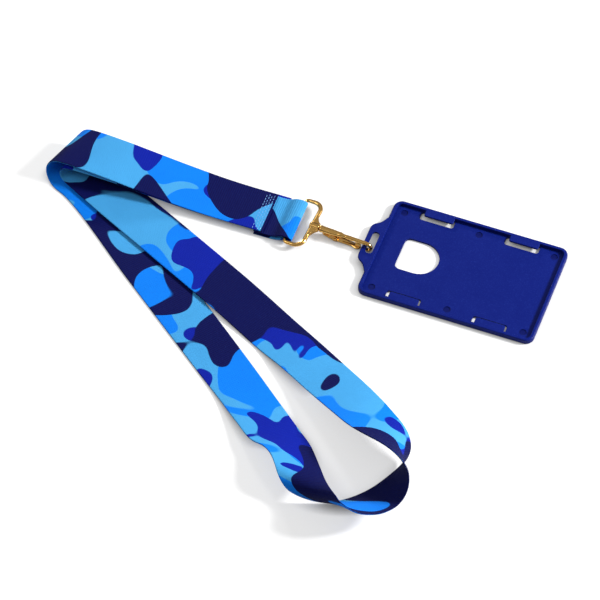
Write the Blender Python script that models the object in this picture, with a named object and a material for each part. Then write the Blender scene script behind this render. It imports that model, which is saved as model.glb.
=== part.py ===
"""Lanyard badge holder: a printed neck strap sewn to a webbing loop, a swivel snap hook and a rigid card holder.

Metres, +Z up. The assembly is modelled in the card holder's frame (holder centred on the origin, back face on
z = 0, tab towards -X) and moved at the end so that the origin is the centre of the bounding box's base.
"""

import math

import bmesh
import bpy
import numpy as np
from mathutils import Matrix, Vector

MM = 0.001

# ---------------------------------------------------------------- card holder
CARD_AT, CARD_TURN = (0.1, 0.4), -0.7  # its centre, and its heading in degrees
CARD_L, CARD_W, CARD_H = 92.6, 61.4, 3.3
CORNER_R = 4.5
RIM_T = 1.9
BACK_T = 1.35
LIP_Z0 = 2.35
LIP_REACH = 3.5
LIP_SPANS = ((-29.8, -14.3), (15.5, 31.0))  # along the long edges
WINDOW_SIDE, WINDOW_END, WINDOW_IN = 2.0, 0.6, 1.6  # how far each window runs past its lip
THUMB_X0, THUMB_Y, THUMB_R, THUMB_CORNER = -33.8, 0.6, 10.1, 3.0
THUMB_STRAIGHT = 0.3  # length of its straight sides
MARK_X, MARK_Y, MARK_D = 39.9, 24.8, 3.7  # ejector marks
TAB_Z0 = 2.1
TAB_X = -52.7
SLOT_X0, SLOT_X1, SLOT_HALF = -50.3, -46.5, 7.0
CLEAR = 0.5  # how far a cutter runs past a face

# ---------------------------------------------------------------- snap hook, along its own axis
HOOK_AT = (-79.3, -0.05)
HOOK_TURN = -4.0
RISE = 0.05  # the swivel axis climbs this much per millimetre
EYE_Z = 4.25
EYE_HALF, EYE_DEPTH, EYE_FRONT = 14.4, 10.5, 0.9
EYE_WIRE, EYE_BAR, EYE_BAR_T = 0.9, 1.2, 1.0
BOSS_R, BOSS_S0, BOSS_S1 = 1.95, -2.1, 3.1
SHANK_R, SHANK_HOLE_R = 0.8, 1.1
HEAD_R, HEAD_S, HEAD_POCKET_R, HEAD_POCKET_S = 1.2, -1.65, 1.5, -1.35
BEND_S, BEND_Z, BEND_INNER = 29.2, 2.7, 1.45
BAR_HALF, TIP_HALF = 1.0, 0.6  # half depths of the top bar and of the tip
PIN_S, PIN_Z, PIN_R, PIN_HOLE_R = 12.2, 2.2, 0.5, 0.8
LUG_HALF, LUG_R = 0.75, 1.25
EAR_IN, EAR_OUT, EAR_R = 1.05, 1.7, 1.2
LEAF_HALF_W, LEAF_HALF_T = 0.6, 0.13

# ---------------------------------------------------------------- webbing
STRAP_W, STRAP_T = 25.0, 0.8
TAB_T = 0.75
TAB_Y = 0.5
A_END_X, C_END_X = -103.0, -96.6
SEWN_X = -107.6
FLOOR_Z = 0.4
OUTER_ROLL_R, INNER_ROLL_R = 6.2, 4.0
LEFT_ARM = -37.7  # heading, degrees

STITCH = 0.5


def clear_scene():
    for obj in list(bpy.data.objects):
        bpy.data.objects.remove(obj)


def material(name, colour, metallic, roughness):
    mat = bpy.data.materials.new(name)
    mat.use_nodes = True
    shader = mat.node_tree.nodes["Principled BSDF"]
    shader.inputs["Base Color"].default_value = (*colour, 1)
    shader.inputs["Metallic"].default_value = metallic
    shader.inputs["Roughness"].default_value = roughness
    return mat


def to_object(name, bm, mat=None):
    bmesh.ops.recalc_face_normals(bm, faces=bm.faces)
    mesh = bpy.data.meshes.new(name)
    bm.to_mesh(mesh)
    bm.free()
    obj = bpy.data.objects.new(name, mesh)
    bpy.context.scene.collection.objects.link(obj)
    if mat:
        mesh.materials.append(mat)
    return obj


def combine(obj, other, operation):
    """Applies an exact Boolean with the other object and removes that one."""
    mod = obj.modifiers.new(operation, "BOOLEAN")
    mod.operation = operation
    mod.solver = "EXACT"
    mod.object = other
    graph = bpy.context.evaluated_depsgraph_get()
    mesh = bpy.data.meshes.new_from_object(obj.evaluated_get(graph))
    mats = list(obj.data.materials)
    obj.modifiers.clear()
    obj.data = mesh
    mesh.materials.clear()
    for mat in mats:
        mesh.materials.append(mat)
    bpy.data.objects.remove(other)


def rounded(points, radii, steps=6):
    """A closed outline with each corner rounded to its radius."""
    out = []
    n = len(points)
    for i in range(n):
        p = np.array(points[i], float)
        a = np.array(points[i - 1], float) - p
        b = np.array(points[(i + 1) % n], float) - p
        a /= np.linalg.norm(a)
        b /= np.linalg.norm(b)
        r = radii[i] if hasattr(radii, "__len__") else radii
        if r <= 0:
            out.append(tuple(p))
            continue
        half = math.acos(np.clip(a @ b, -1, 1)) / 2
        tangent = r / math.tan(half)
        centre = p + (a + b) / np.linalg.norm(a + b) * r / math.sin(half)
        start, end = p + a * tangent - centre, p + b * tangent - centre
        a0 = math.atan2(start[1], start[0])
        sweep = (math.atan2(end[1], end[0]) - a0 + math.pi) % (2 * math.pi) - math.pi
        for k in range(steps + 1):
            t = a0 + sweep * k / steps
            out.append((centre[0] + r * math.cos(t), centre[1] + r * math.sin(t)))
    return out


def inset(outline, by):
    """The outline moved inwards by a distance (outline runs counter-clockwise)."""
    pts = np.array(outline, float)
    prev, nxt = np.roll(pts, 1, axis=0), np.roll(pts, -1, axis=0)
    e1, e2 = pts - prev, nxt - pts
    n1 = np.stack([-e1[:, 1], e1[:, 0]], 1)
    n2 = np.stack([-e2[:, 1], e2[:, 0]], 1)
    n1 /= np.linalg.norm(n1, axis=1)[:, None]
    n2 /= np.linalg.norm(n2, axis=1)[:, None]
    n = n1 + n2
    n /= (n * n).sum(1)[:, None] / 2
    return [tuple(p) for p in pts + n * by]


def loft(rings):
    """Closed rings of equal count, in order, capped at both ends."""
    bm = bmesh.new()
    rows = [[bm.verts.new(Vector(p) * MM) for p in ring] for ring in rings]
    n = len(rows[0])
    for a, b in zip(rows, rows[1:]):
        for i in range(n):
            bm.faces.new((a[i], a[(i + 1) % n], b[(i + 1) % n], b[i]))
    bm.faces.new(list(reversed(rows[0])))
    bm.faces.new(rows[-1])
    return bm


def stack(outline, levels):
    """A prism whose section at each (z, inset) is the outline moved inwards."""
    return loft([[(x, y, z) for x, y in inset(outline, by)] for z, by in levels])


def rect(x0, x1, y0, y1, r, steps=5):
    return rounded([(x0, y0), (x1, y0), (x1, y1), (x0, y1)], r, steps)


def circle(x, y, r, n=20):
    return [
        (x + r * math.cos(2 * math.pi * k / n), y + r * math.sin(2 * math.pi * k / n))
        for k in range(n)
    ]


# ---------------------------------------------------------------- card holder
def tab_outline():
    """Counter-clockwise: the outer edge is straight, its corners are round and S-curves lead into the frame."""
    half = [(-44.6, -19.6), (-46.0, -18.5), (-46.9, -17.1), (-47.7, -15.5), (-48.7, -14.0)]
    corner = [(-50.0, -12.9), (-51.3, -12.0), (-52.2, -10.9), (-52.65, -9.5)]
    lower = half + corner + [(TAB_X, -7.7)]
    return [(x, -y) for x, y in lower] + [(x, y) for x, y in reversed(lower)]


def cut(body, outline, levels):
    combine(body, to_object("cutter", stack(outline, levels)), "DIFFERENCE")


def add(body, outline, levels):
    combine(body, to_object("addition", stack(outline, levels)), "UNION")


def thumb_outline():
    """Square towards the tab, with rounded corners, and half round at the other end."""
    r, middle = THUMB_R, THUMB_X0 + THUMB_R + THUMB_STRAIGHT
    arc = [
        (middle + r * math.cos(t), THUMB_Y + r * math.sin(t))
        for t in np.linspace(-math.pi / 2, math.pi / 2, 17)
    ]
    square = rounded(
        [(THUMB_X0, THUMB_Y + r), (THUMB_X0, THUMB_Y - r), arc[0], arc[-1]], [THUMB_CORNER, THUMB_CORNER, 0, 0], 5
    )
    return arc + square[:12]


def card_holder(mat):
    lx, wy, top = CARD_L / 2, CARD_W / 2, CARD_H
    outside = [(0, 0.6), (0.2, 0.2), (0.55, 0), (top - 0.75, 0), (top - 0.3, 0.15), (top, 0.5)]
    body = to_object("card_holder", stack(rect(-lx, lx, -wy, wy, CORNER_R, 6), outside), mat)
    add(body, tab_outline(), [(TAB_Z0, 0.3), (TAB_Z0 + 0.3, 0), (top - 0.3, 0), (top, 0.3)])
    px, py = lx - RIM_T, wy - RIM_T
    cut(
        body,
        rect(-px, px, -py, py, CORNER_R - RIM_T, 5),
        [(BACK_T, 0), (top - 0.4, 0), (top - 0.15, -0.1), (top + CLEAR, -0.6)],
    )
    for x0, x1 in LIP_SPANS:
        for side in (-1, 1):
            inner, outer = side * (py - LIP_REACH), side * (py + 0.9)
            lip = rect(x0, x1, min(inner, outer), max(inner, outer), 0.9, 3)
            add(body, lip, [(LIP_Z0, 0), (top - 0.3, 0), (top - 0.02, 0.25)])
    for x0, x1 in LIP_SPANS:
        for side in (-1, 1):
            inner, outer = side * (py - LIP_REACH - WINDOW_IN), side * (py - 0.05)
            window = rect(x0 - WINDOW_SIDE, x1 + WINDOW_END, min(inner, outer), max(inner, outer), 1.2, 3)
            cut(body, window, [(-CLEAR, 0), (BACK_T + CLEAR, 0)])
    cut(body, thumb_outline(), [(-CLEAR, 0), (BACK_T + CLEAR, 0)])
    cut(body, rect(SLOT_X0, SLOT_X1, -SLOT_HALF, SLOT_HALF, 1.7, 6), [(TAB_Z0 - CLEAR, 0), (top + CLEAR, 0)])
    for x in (-MARK_X, 0, MARK_X):
        for y in (-MARK_Y, MARK_Y):
            cut(body, circle(x, y, MARK_D / 2), [(BACK_T - 0.3, 0), (BACK_T + CLEAR, 0)])
    turn = Matrix.Rotation(math.radians(CARD_TURN), 4, "Z")
    body.data.transform(Matrix.Translation(Vector((*CARD_AT, 0)) * MM) @ turn)
    return body


# ---------------------------------------------------------------- hook frame
def hook_axes():
    t = math.radians(HOOK_TURN)
    along = Vector((math.cos(t), math.sin(t), 0))
    across = Vector((-math.sin(t), math.cos(t), 0))
    return along, across


def hook_point(s, n, z):
    """A point from its distance along the hook, sideways offset and height, in millimetres."""
    along, across = hook_axes()
    return Vector((*HOOK_AT, 0)) + along * s + across * n + Vector((0, 0, z))


def axis_point(s, n, up):
    """As hook_point, but with s and up measured along and square to the rising swivel axis."""
    k = 1 / math.hypot(1, RISE)
    return hook_point((s - up * RISE) * k, n, EYE_Z + (s * RISE + up) * k)


def bar(path, count=14):
    """A bar in the hook's plane through (s, z, half width, half depth) stations, with elliptical sections."""
    angles = [2 * math.pi * k / count for k in range(count)]
    rings = []
    for i, (s, z, hw, hd) in enumerate(path):
        before, after = path[max(i - 1, 0)], path[min(i + 1, len(path) - 1)]
        ds, dz = after[0] - before[0], after[1] - before[1]
        k = math.hypot(ds, dz)
        us, uz = -dz / k * hd, ds / k * hd
        rings.append([hook_point(s + us * math.sin(t), hw * math.cos(t), z + uz * math.sin(t)) for t in angles])
    return loft(rings)


def disc(s, z, n0, n1, r, count=20):
    """A short cylinder across the hook."""
    angles = [2 * math.pi * k / count for k in range(count)]
    return loft([[hook_point(s + r * math.cos(t), n, z + r * math.sin(t)) for t in angles] for n in (n0, n1)])


def turned(profile, count=24):
    """A solid of revolution about the swivel axis from (s, r) points."""
    angles = [2 * math.pi * k / count for k in range(count)]
    return loft([[axis_point(s, r * math.cos(t), r * math.sin(t)) for t in angles] for s, r in profile])


def ring_path():
    """(s, n) round the ring: a rectangle with tight corners at the crossbar and wide ones at the front."""
    s0, s1, half = -EYE_DEPTH, -EYE_FRONT, EYE_HALF
    corners = rounded([(s0, -half), (s1, -half), (s1, half), (s0, half)], [2.0, 4.6, 4.6, 2.0], 8)
    front = [(s1, n) for n in (-4.5, 0.0, 4.5)]
    cross = [(s0, n) for n in (8.0, 0.0, -8.0)]
    return corners[:18] + front + corners[18:] + cross


def strap_eye(mat):
    """The closed ring in the strap's loop, thicker at the front, with a web and a boss for the hook's shank."""
    path = ring_path()
    bm = bmesh.new()
    rows = []
    for i, (s, n) in enumerate(path):
        before, after = path[i - 1], path[(i + 1) % len(path)]
        ds, dn = after[0] - before[0], after[1] - before[1]
        k = math.hypot(ds, dn)
        us, un = dn / k, -ds / k
        share = min(1, (s + EYE_DEPTH) / 6)
        wide = EYE_WIRE + (EYE_BAR - EYE_WIRE) * share
        thick = EYE_WIRE + (EYE_BAR_T - EYE_WIRE) * share
        ring = []
        for j in range(12):
            t = 2 * math.pi * j / 12
            out = wide * math.cos(t)
            ring.append(bm.verts.new(axis_point(s + us * out, n + un * out, thick * math.sin(t)) * MM))
        rows.append(ring)
    for a, b in zip(rows, rows[1:] + rows[:1]):
        for j in range(12):
            bm.faces.new((a[j], a[(j + 1) % 12], b[(j + 1) % 12], b[j]))
    eye = to_object("strap_eye", bm, mat)
    side = [(-EYE_FRONT, 7.4), (0.4, 5.4), (1.1, 3.7), (2.8, 2.3)]
    web = [(s, -n) for s, n in side] + side[::-1]
    rings = [
        [axis_point(s, n, up) for s, n in inset(web, by)]
        for up, by in ((-1.05, 0.3), (-0.75, 0), (0.75, 0), (1.05, 0.3))
    ]
    combine(eye, to_object("web", loft(rings)), "UNION")
    boss = [(BOSS_S0, BOSS_R - 0.3), (BOSS_S0 + 0.3, BOSS_R), (BOSS_S1 - 0.3, BOSS_R), (BOSS_S1, BOSS_R - 0.25)]
    combine(eye, to_object("boss", turned(boss)), "UNION")
    combine(eye, to_object("hole", turned([(-4, SHANK_HOLE_R), (6, SHANK_HOLE_R)])), "DIFFERENCE")
    combine(eye, to_object("pocket", turned([(-4, HEAD_POCKET_R), (HEAD_POCKET_S, HEAD_POCKET_R)])), "DIFFERENCE")
    return eye


def hook_bar():
    """(s, z, half width, half depth) along the stem, the top bar, the bend and the tip that comes back."""
    stem = [(3.45, 4.44, 1.6, 1.4), (3.75, 4.46, 1.85, 1.6), (5.0, 4.5, 1.85, 1.55), (8.0, 4.66, 1.8, 1.4)]
    stem += [(10.5, 4.85, 1.75, 1.25), (13.0, 5.0, 1.5, 1.15), (15.6, 5.1, 1.3, 1.12), (16.1, 5.12, 1.08, BAR_HALF)]
    top_z = BEND_Z + BEND_INNER + BAR_HALF
    bars = [(s, top_z, 1.08, BAR_HALF) for s in (18.5, 22.5, 26.5)]
    bend = []
    for deg in range(90, -91, -20):
        t = math.radians(deg)
        share = (deg + 90) / 180
        depth = TIP_HALF + (BAR_HALF - TIP_HALF) * share
        r = BEND_INNER + depth
        bend.append((BEND_S + r * math.cos(t), BEND_Z + r * math.sin(t), 1.0 + 0.08 * share, depth))
    low_z = BEND_Z - BEND_INNER - TIP_HALF
    tip = [(27.3, low_z, 0.95, TIP_HALF - 0.02), (26.75, low_z, 0.85, TIP_HALF - 0.1)]
    return stem + bars + bend + tip


def lug():
    """The plate under the stem that carries the gate's pin."""
    low = [(PIN_S + LUG_R * math.cos(t), PIN_Z + LUG_R * math.sin(t)) for t in np.linspace(math.pi, 2 * math.pi, 11)]
    outline = low + [(PIN_S + LUG_R, 4.6), (PIN_S - LUG_R, 4.6)]
    return loft([[hook_point(s, n, z) for s, z in outline] for n in (-LUG_HALF, LUG_HALF)])


def hook_body(mat):
    """Casting: peened shank, tapering stem, top bar and the bend that comes back under the tab."""
    body = to_object("hook_body", bar(hook_bar()), mat)
    head = [(HEAD_S - 0.4, HEAD_R - 0.3), (HEAD_S - 0.25, HEAD_R), (HEAD_S - 0.01, HEAD_R)]
    shank = turned(head + [(HEAD_S, SHANK_R), (4.6, SHANK_R)], 20)
    combine(body, to_object("shank", shank), "UNION")
    combine(body, to_object("lug", lug()), "UNION")
    combine(body, to_object("pin_hole", disc(PIN_S, PIN_Z, -4, 4, PIN_HOLE_R)), "DIFFERENCE")
    return body


def ear_plate(n0, n1):
    """A plate across the hook, round-topped about the pin and running down into the lower bar."""
    top = [(PIN_S + EAR_R * math.cos(t), PIN_Z + EAR_R * math.sin(t)) for t in np.linspace(0, math.pi, 11)]
    outline = top + [(PIN_S - EAR_R, 0.55), (PIN_S - 0.9, 0.25), (PIN_S + 0.9, 0.25), (PIN_S + EAR_R, 0.55)]
    return loft([[hook_point(s, n, z) for s, z in outline] for n in (n0, n1)])


def gate(mat):
    """The sprung lower bar, with an ear each side of the hook's lug."""
    path = [(5.0, 1.75, 0.75, 0.45), (5.5, 1.68, 0.95, 0.58), (8.0, 1.15, 1.15, 0.62), (10.5, 0.78, 1.3, 0.62)]
    path += [(13.5, 0.7, 1.3, 0.6), (16.5, 0.68, 1.1, 0.6), (21.0, 0.67, 1.0, 0.6), (25.5, 0.66, 0.95, 0.58)]
    path.append((25.8, 0.66, 0.8, 0.5))
    body = to_object("gate", bar(path), mat)
    saddle = to_object("saddle", ear_plate(-EAR_OUT, EAR_OUT))
    slot = rect(PIN_S - 4, PIN_S + 4, PIN_Z - LUG_R - 0.15, 8, 0.2, 2)
    between = [[hook_point(s, n, z) for s, z in slot] for n in (-EAR_IN, EAR_IN)]
    combine(saddle, to_object("between", loft(between)), "DIFFERENCE")
    combine(body, saddle, "UNION")
    combine(body, to_object("room", loft(between)), "DIFFERENCE")
    combine(body, to_object("pin_hole", disc(PIN_S, PIN_Z, -4, 4, PIN_HOLE_R)), "DIFFERENCE")
    return body


def gate_pin(mat):
    end = EAR_OUT + 0.25
    profile = [(end + 0.25, 0.7), (end + 0.04, 0.95), (end, PIN_R)]
    profile = [(-n, r) for n, r in profile] + profile[::-1]
    rings = []
    for n, r in profile:
        angles = [2 * math.pi * k / 16 for k in range(16)]
        rings.append([hook_point(PIN_S + r * math.cos(t), n, PIN_Z + r * math.sin(t)) for t in angles])
    return to_object("gate_pin", loft(rings), mat)


def gate_spring(mat):
    """Leaf spring under the top bar, pressing the gate shut."""
    path = [(14.2, 3.5), (16.0, 3.68), (17.6, 3.45), (19.3, 2.85), (20.8, 2.2), (22.0, 1.85), (22.8, 1.9)]
    rings = []
    for i, (s, z) in enumerate(path):
        before, after = path[max(i - 1, 0)], path[min(i + 1, len(path) - 1)]
        ds, dz = after[0] - before[0], after[1] - before[1]
        k = LEAF_HALF_T / math.hypot(ds, dz)
        us, uz = -dz * k, ds * k
        corners = ((1, 1), (-1, 1), (-1, -1), (1, -1))
        rings.append([hook_point(s + us * b, LEAF_HALF_W * a, z + uz * b) for a, b in corners])
    return to_object("gate_spring", loft(rings), mat)


# ---------------------------------------------------------------- webbing
def run(x, y, north_z, south_z):
    """A station of the sewn run, square to X, with its centre at y."""
    return (x, y + STRAP_W / 2, north_z), (x, y - STRAP_W / 2, south_z)


def arm(x, y, heading_deg, z):
    """A station of a straight arm lying flat: left edge, right edge."""
    t = math.radians(heading_deg)
    left = np.array([-math.sin(t), math.cos(t), 0]) * STRAP_W / 2
    centre = np.array([x, y, z])
    return tuple(centre + left), tuple(centre - left)


def roll(centre, radius, low_z, line_deg, degs):
    """Stations round a folded turn: a half cylinder about an axis whose plan point is centre.

    Its rulings run along the fold line, which also crosses the strap at line_deg.
    """
    t = math.radians(line_deg)
    line = np.array([math.cos(t), math.sin(t), 0])
    out = np.array([-math.sin(t), math.cos(t), 0])
    stations = []
    for deg in degs:
        a = math.radians(deg)
        slide = radius * a / math.tan(t)
        p = np.array([centre[0], centre[1], low_z + radius])
        p = p + line * slide + out * radius * math.cos(a) + np.array([0, 0, radius * math.sin(a)])
        half = line * STRAP_W / 2 / math.sin(t)
        stations.append((tuple(p + half), tuple(p - half)))
    return stations


def strap_stations():
    """(inner edge, outer edge) of the loop at chosen rulings, from the top ply's end round to the lower ply's end."""
    top = [run(A_END_X, 0.9, 3.6, 3.5), run(-115, 0.9, 3.7, 3.5), run(-130, 0.9, 4.4, 3.7), run(-146, 1.0, 6.0, 4.6)]
    top += [run(-166, 1.0, 8.8, 7.3), run(-186, 0.8, 12.0, 10.6)]
    outer = roll((-209.8, -1.9), OUTER_ROLL_R, FLOOR_Z, 71.2, (90, 60, 30, 0, -30, -60, -90))
    turn = [
        arm(-199.0, -12.0, LEFT_ARM, 0.4),
        arm(-150.0, -49.8, LEFT_ARM, 0.4),
        arm(-100.0, -88.4, LEFT_ARM, 0.4),
        ((-72.5, -94.5, 0.5), (-87.6, -113.8, 1.2)),
        ((-57.5, -107.0, 1.0), (-74.5, -125.0, 3.6)),
        ((-44.5, -118.0, 2.0), (-63.5, -134.0, 6.4)),
        ((-36.5, -125.0, 3.2), (-56.3, -136.8, 9.0)),
        ((-29.5, -134.0, 5.4), (-50.6, -141.8, 11.4)),
        ((-24.5, -141.5, 8.8), (-46.6, -147.2, 12.5)),
        ((-20.0, -148.5, 13.0), (-42.6, -152.4, 11.0)),
        ((-15.5, -154.5, 17.5), (-37.0, -155.5, 7.0)),
        ((-11.5, -159.0, 20.5), (-29.0, -155.0, 3.4)),
        ((-6.5, -162.5, 20.0), (-18.0, -152.0, 0.7)),
        ((-0.5, -162.8, 17.0), (-13.0, -149.0, 0.4)),
        ((5.5, -160.3, 14.5), (-8.5, -145.5, 0.4)),
        ((11.2, -156.3, 12.9), (-4.7, -141.7, 0.4)),
        ((15.8, -151.0, 12.8), (-1.2, -137.4, 0.4)),
        ((18.5, -144.7, 14.7), (1.8, -132.7, 0.4)),
        ((18.5, -139.0, 18.0), (4.6, -127.6, 0.5)),
        ((16.0, -134.0, 21.5), (7.4, -122.3, 1.0)),
        ((11.0, -130.6, 24.0), (10.0, -117.3, 2.8)),
        ((5.0, -127.8, 24.8), (10.7, -112.6, 5.6)),
        ((-1.2, -125.2, 23.8), (8.7, -108.3, 8.3)),
        ((-9.0, -121.8, 21.0), (3.5, -103.0, 10.0)),
        ((-18.5, -117.0, 17.0), (-5.0, -96.8, 10.2)),
        ((-33.5, -107.0, 11.0), (-19.5, -86.5, 8.0)),
        ((-48.5, -97.2, 6.5), (-34.8, -76.5, 4.8)),
        ((-64.5, -87.2, 3.5), (-51.0, -66.3, 2.0)),
        ((-84.5, -76.3, 0.6), (-72.5, -54.4, 0.6)),
        ((-112.0, -62.5, 1.7), (-101.0, -40.0, 1.7)),
        ((-155.0, -41.5, 1.7), (-144.0, -19.0, 1.7)),
        ((-190.5, -24.2, 1.7), (-179.5, -1.8, 1.7)),
    ]
    inner = roll((-206.0, -0.7), INNER_ROLL_R, 1.7, 76.8, (-90, -60, -30, 0, 30, 60, 90))
    back = [run(-186, 1.2, 8.6, 8.4), run(-166, 1.8, 5.4, 5.2), run(-146, 2.3, 2.6, 2.4)]
    back += [run(-130, 2.5, 1.5, 1.5), run(C_END_X, 2.5, 1.425, 1.425)]
    return top + outer + turn + [(b, a) for a, b in inner + back]


def smooth_path(stations, step):
    """Edge points every step or so through the stations, as Hermite curves."""
    pts = np.array(stations, float).reshape(len(stations), 6)
    mid = (pts[:, :3] + pts[:, 3:]) / 2
    t = np.r_[0, np.cumsum(np.linalg.norm(np.diff(mid, axis=0), axis=1))]
    slope = np.zeros_like(pts)
    d = np.diff(pts, axis=0) / np.diff(t)[:, None]
    h = np.diff(t)[:, None]
    slope[1:-1] = (d[:-1] * h[1:] + d[1:] * h[:-1]) / (h[:-1] + h[1:])
    slope[0], slope[-1] = d[0], d[-1]
    for c in (2, 5):  # heights never pass beyond their stations
        turns = d[:-1, c] * d[1:, c] <= 0
        slope[1:-1, c][turns] = 0
        most = 2.5 * np.minimum(abs(d[:-1, c]), abs(d[1:, c]))
        slope[1:-1, c] = np.clip(slope[1:-1, c], -most, most)
    out = [pts[0]]
    for i in range(len(pts) - 1):
        length = t[i + 1] - t[i]
        count = max(2, round(length / step))
        for k in range(1, count + 1):
            u = k / count
            out.append(
                (2 * u**3 - 3 * u**2 + 1) * pts[i]
                + (u**3 - 2 * u**2 + u) * length * slope[i]
                + (3 * u**2 - 2 * u**3) * pts[i + 1]
                + (u**3 - u**2) * length * slope[i + 1]
            )
    return np.array(out).reshape(-1, 2, 3)


def strip_solid(edges, thickness, across=4):
    """A closed strip of even thickness about the surface between the two edges."""
    count = len(edges)
    grid = np.stack([edges[:, 0] + (edges[:, 1] - edges[:, 0]) * j / across for j in range(across + 1)], 1)
    normal = np.cross(np.gradient(grid, axis=0), np.gradient(grid, axis=1))
    normal /= np.linalg.norm(normal, axis=2)[..., None]
    upper, lower = grid + normal * thickness / 2, grid - normal * thickness / 2
    bm = bmesh.new()
    up = [[bm.verts.new(Vector(p) * MM) for p in row] for row in upper]
    low = [[bm.verts.new(Vector(p) * MM) for p in row] for row in lower]
    for i in range(count - 1):
        for j in range(across):
            bm.faces.new((up[i][j], up[i + 1][j], up[i + 1][j + 1], up[i][j + 1]))
            bm.faces.new((low[i][j], low[i][j + 1], low[i + 1][j + 1], low[i + 1][j]))
        for j in (0, across):
            bm.faces.new((up[i][j], up[i + 1][j], low[i + 1][j], low[i][j]))
    for i in (0, count - 1):
        for j in range(across):
            bm.faces.new((up[i][j], up[i][j + 1], low[i][j + 1], low[i][j]))
    return bm


def neck_strap(mat):
    return to_object("neck_strap", strip_solid(smooth_path(strap_stations(), 5.0), STRAP_T), mat)


def loop_tab(mat):
    """The short webbing loop round the eye's crossbar, its two ends in the sewn stack."""
    low_z, mid_low, fold_z, fold_r = 0.375, 2.075, 3.7, 1.625
    line = [(SEWN_X, low_z), (-102.0, low_z), (-97.0, low_z), (-95.6, 0.62), (-94.0, 1.5), (-92.2, mid_low)]
    line.append((-90.0, mid_low))
    for deg in range(-90, 91, 20):
        a = math.radians(deg)
        line.append((-88.3 + fold_r * math.cos(a), fold_z + fold_r * math.sin(a)))
    line += [(-90.0, 5.325), (-92.2, 5.3), (-94.0, 4.5), (-95.6, 3.2), (-97.0, 2.6), (-99.0, 2.475), (SEWN_X, 2.475)]
    path = np.array([[(x, TAB_Y - STRAP_W / 2, z), (x, TAB_Y + STRAP_W / 2, z)] for x, z in line])
    return to_object("loop_tab", strip_solid(path, TAB_T, 2), mat)


def box_stitching(mat):
    """The raised thread of the box stitch that holds the sewn stack, on the top ply."""
    x0, x1, y0, y1, z = -108.4, -103.6, -10.6, 12.0, 3.7 + STRAP_T / 2 + 0.06
    outer = stack(rect(x0, x1, y0, y1, 0.3, 2), [(z, 0), (z + 0.25, 0), (z + 0.35, 0.1)])
    body = to_object("box_stitching", outer, mat)
    inner = stack(rect(x0 + STITCH, x1 - STITCH, y0 + STITCH, y1 - STITCH, 0.3, 2), [(z - 1, 0), (z + 1, 0)])
    combine(body, to_object("cut", inner), "DIFFERENCE")
    for sign in (-1, 1):
        a, b = Vector((x0, y0 if sign > 0 else y1, 0)), Vector((x1, y1 if sign > 0 else y0, 0))
        d = (b - a).normalized()
        side = Vector((-d.y, d.x, 0)) * STITCH / 2
        a, b = a + d * 0.3, b - d * 0.3
        outline = [tuple(p.xy) for p in (a - side, b - side, b + side, a + side)]
        combine(body, to_object("cross", stack(outline, [(z, 0), (z + 0.3 + 0.02 * sign, 0)])), "UNION")
    return body


def move_to_base_centre():
    bpy.context.view_layer.update()
    objs = [o for o in bpy.data.objects if o.type == "MESH"]
    pts = np.array([v.co[:] for o in objs for v in o.data.vertices])
    low, high = pts.min(0), pts.max(0)
    shift = Vector((-(low[0] + high[0]) / 2, -(low[1] + high[1]) / 2, -low[2]))
    for obj in objs:
        for vert in obj.data.vertices:
            vert.co += shift
    print("moved by mm", [round(v / MM, 3) for v in shift], "size mm", [round(v / MM, 2) for v in high - low])


def main():
    clear_scene()
    plastic = material("holder_plastic", (0.02, 0.03, 0.25), 0, 0.4)
    gold = material("gold_plate", (0.83, 0.6, 0.25), 1, 0.2)
    steel = material("spring_steel", (0.21, 0.135, 0.07), 1, 0.3)
    webbing = material("webbing", (0.01, 0.15, 0.7), 0, 0.6)
    thread = material("thread", (0.1, 0.25, 0.6), 0, 0.6)
    card_holder(plastic)
    strap_eye(gold)
    hook_body(gold)
    gate(gold)
    gate_pin(gold)
    gate_spring(steel)
    neck_strap(webbing)
    loop_tab(webbing)
    box_stitching(thread)
    move_to_base_centre()


main()
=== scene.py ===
"""Looks of the lanyard badge holder: printed webbing in a loop, a gilt snap hook and a plastic holder.

Places are in millimetres in the card holder's own frame: centred on it, with +X away from its tab and the
floor at z = 0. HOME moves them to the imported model's frame.
"""

import math
import random

import bmesh
import bpy
import numpy as np
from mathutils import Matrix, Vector
from mathutils.bvhtree import BVHTree

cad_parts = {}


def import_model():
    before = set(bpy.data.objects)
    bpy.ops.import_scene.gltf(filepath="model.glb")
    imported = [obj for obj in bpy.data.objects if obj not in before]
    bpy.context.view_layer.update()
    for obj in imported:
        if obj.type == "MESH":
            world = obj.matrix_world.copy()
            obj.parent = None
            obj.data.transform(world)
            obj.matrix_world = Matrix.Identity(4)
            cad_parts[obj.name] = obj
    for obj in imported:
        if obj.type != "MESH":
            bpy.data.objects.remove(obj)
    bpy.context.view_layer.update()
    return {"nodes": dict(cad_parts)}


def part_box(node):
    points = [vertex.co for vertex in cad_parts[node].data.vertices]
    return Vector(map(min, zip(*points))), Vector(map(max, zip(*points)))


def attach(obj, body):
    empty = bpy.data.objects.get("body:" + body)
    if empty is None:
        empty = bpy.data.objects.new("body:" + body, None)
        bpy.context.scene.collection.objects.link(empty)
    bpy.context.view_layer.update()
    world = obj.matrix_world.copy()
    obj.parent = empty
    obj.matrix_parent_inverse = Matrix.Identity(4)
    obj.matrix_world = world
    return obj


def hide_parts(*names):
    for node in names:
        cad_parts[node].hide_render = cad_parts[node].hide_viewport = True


MM = 0.001

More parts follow.
